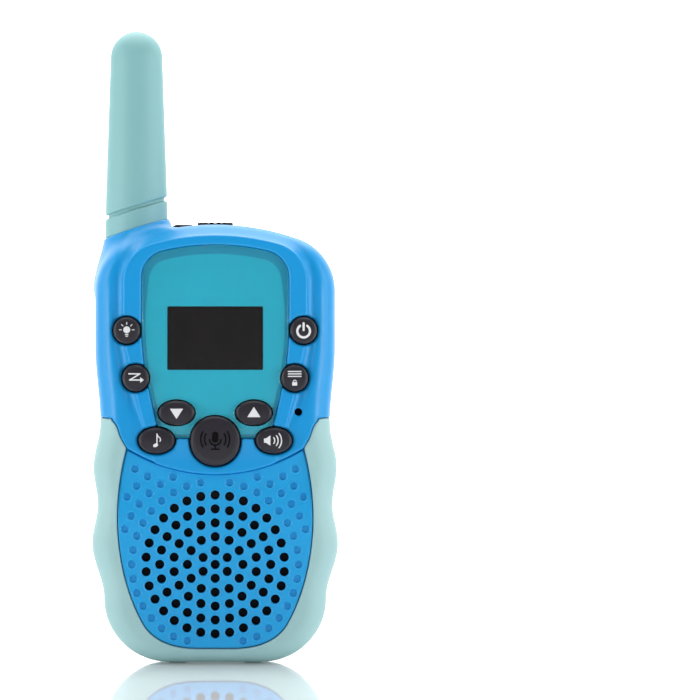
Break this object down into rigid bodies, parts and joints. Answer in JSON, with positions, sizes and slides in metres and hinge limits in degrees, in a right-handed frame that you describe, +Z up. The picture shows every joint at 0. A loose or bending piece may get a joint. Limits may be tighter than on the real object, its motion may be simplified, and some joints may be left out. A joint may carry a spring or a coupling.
{
  "type": "toy walkie talkie",
  "caption": "Handheld toy two-way radio with a stub antenna, display lens, keypad, round speaker grille, finger-wave grips, battery door and belt clip; it stands upright on its base.",
  "frame": {"origin": "centre of the base, midway between the two base pads, on the surface that it stands on", "axes": "+Z up along the antenna, -Y out of the front face with the display and the speaker, +X to the right as seen from the front"},
  "size_m": [0.0582, 0.037, 0.15],
  "materials": {
    "blue_shell": "satin moulded ABS, sky blue",
    "panel_blue": "satin moulded ABS, slightly deeper blue",
    "aqua_shell": "satin moulded ABS, pale aqua",
    "aqua_grip": "soft-touch thermoplastic rubber, pale aqua",
    "lens_clear": "clear polycarbonate, polished",
    "teal_print": "printed teal film behind the lens",
    "lcd_black": "dark display glass",
    "white_plastic": "plain white plastic",
    "charcoal_key": "fine-textured charcoal plastic",
    "silicone": "translucent silicone",
    "spring_steel": "nickel-plated spring steel",
    "circuit_board": "green solder mask",
    "black_plastic": "black plastic",
    "black_rubber": "black rubber",
    "black_cloth": "fine black dust cloth",
    "magnet_grey": "grey ferrite and steel",
    "lead_red": "PVC-insulated wire, red",
    "lead_black": "PVC-insulated wire, black",
    "torch_lens": "clear acrylic",
    "brass": "brass, lightly oxidised",
    "cell_wrap": "printed plastic sleeve with no lettering"
  },
  "bodies": {
    "housing": {"front_housing": "blue_shell", "speaker_grille": "panel_blue", "rear_housing": "aqua_shell", "antenna_sheath": "aqua_shell", "front_grip": "aqua_grip", "base_pads": "aqua_grip", "display_lens": "lens_clear", "display_mask": "teal_print", "lcd_module": "lcd_black", "lcd_holder": "white_plastic", "antenna_core": "white_plastic", "flashlight_led": "white_plastic", "keypad_mat": "silicone", "snap_domes": "spring_steel", "battery_springs": "spring_steel", "housing_screws": "spring_steel", "pcb_screws": "spring_steel", "rf_shield": "spring_steel", "speaker_frame": "spring_steel", "mic_capsule": "spring_steel", "main_pcb": "circuit_board", "pcb_chips": "black_plastic", "flashlight_bezel": "black_plastic", "audio_jack": "black_plastic", "speaker_cone": "black_plastic", "mic_boot": "black_plastic", "speaker_cloth": "black_cloth", "speaker_magnet": "magnet_grey", "speaker_leads": "lead_red", "battery_leads": "lead_black", "flashlight_lens": "torch_lens", "antenna_coil": "brass", "battery_contacts": "brass", "battery_cells": "cell_wrap"},
    "lamp_button": {"lamp_button": "charcoal_key"},
    "power_button": {"power_button": "charcoal_key"},
    "scan_button": {"scan_button": "charcoal_key"},
    "menu_button": {"menu_button": "charcoal_key"},
    "down_button": {"down_button": "charcoal_key"},
    "up_button": {"up_button": "charcoal_key"},
    "call_button": {"call_button": "charcoal_key"},
    "monitor_button": {"monitor_button": "charcoal_key"},
    "talk_button": {"talk_button": "charcoal_key"},
    "jack_cover": {"jack_cover": "black_rubber"},
    "battery_door": {"battery_door": "aqua_shell"},
    "battery_door_screw": {"battery_door_screw": "spring_steel"},
    "belt_clip": {"belt_clip": "blue_shell"}
  },
  "joints": [
    {"name": "lamp_press", "type": "slide", "parent": "housing", "child": "lamp_button", "axis": [0, 1, 0], "range_m": [0, 0.0008], "stiffness_N_per_m": 200, "springref_m": -0.001},
    {"name": "power_press", "type": "slide", "parent": "housing", "child": "power_button", "axis": [0, 1, 0], "range_m": [0, 0.0008], "stiffness_N_per_m": 200, "springref_m": -0.001},
    {"name": "scan_press", "type": "slide", "parent": "housing", "child": "scan_button", "axis": [0, 1, 0], "range_m": [0, 0.0008], "stiffness_N_per_m": 200, "springref_m": -0.001},
    {"name": "menu_press", "type": "slide", "parent": "housing", "child": "menu_button", "axis": [0, 1, 0], "range_m": [0, 0.0008], "stiffness_N_per_m": 200, "springref_m": -0.001},
    {"name": "down_press", "type": "slide", "parent": "housing", "child": "down_button", "axis": [0, 1, 0], "range_m": [0, 0.0008], "stiffness_N_per_m": 200, "springref_m": -0.001},
    {"name": "up_press", "type": "slide", "parent": "housing", "child": "up_button", "axis": [0, 1, 0], "range_m": [0, 0.0008], "stiffness_N_per_m": 200, "springref_m": -0.001},
    {"name": "call_press", "type": "slide", "parent": "housing", "child": "call_button", "axis": [0, 1, 0], "range_m": [0, 0.0008], "stiffness_N_per_m": 200, "springref_m": -0.001},
    {"name": "monitor_press", "type": "slide", "parent": "housing", "child": "monitor_button", "axis": [0, 1, 0], "range_m": [0, 0.0008], "stiffness_N_per_m": 200, "springref_m": -0.001},
    {"name": "talk_press", "type": "slide", "parent": "housing", "child": "talk_button", "axis": [0, 1, 0], "range_m": [0, 0.0008], "stiffness_N_per_m": 200, "springref_m": -0.001},
    {"name": "jack_cover_flip", "type": "hinge", "parent": "housing", "child": "jack_cover", "pos_m": [-0.00752, 0.0011, 0.1031], "axis": [-1, 0, 0], "range_deg": [0, 105], "stiffness_Nm_per_rad": 0.0002},
    {"name": "battery_door_swing", "type": "hinge", "parent": "housing", "child": "battery_door", "pos_m": [0, 0.0104, 0.0113], "axis": [-1, 0, 0], "range_deg": [0, 75]},
    {"name": "battery_door_screw_turn", "type": "hinge", "parent": "battery_door", "child": "battery_door_screw", "pos_m": [0, 0.0103, 0.0619], "axis": [0, 1, 0], "continuous": true},
    {"name": "belt_clip_slide", "type": "slide", "parent": "housing", "child": "belt_clip", "axis": [0, 0, 1], "range_m": [0, 0.018]}
  ]
}
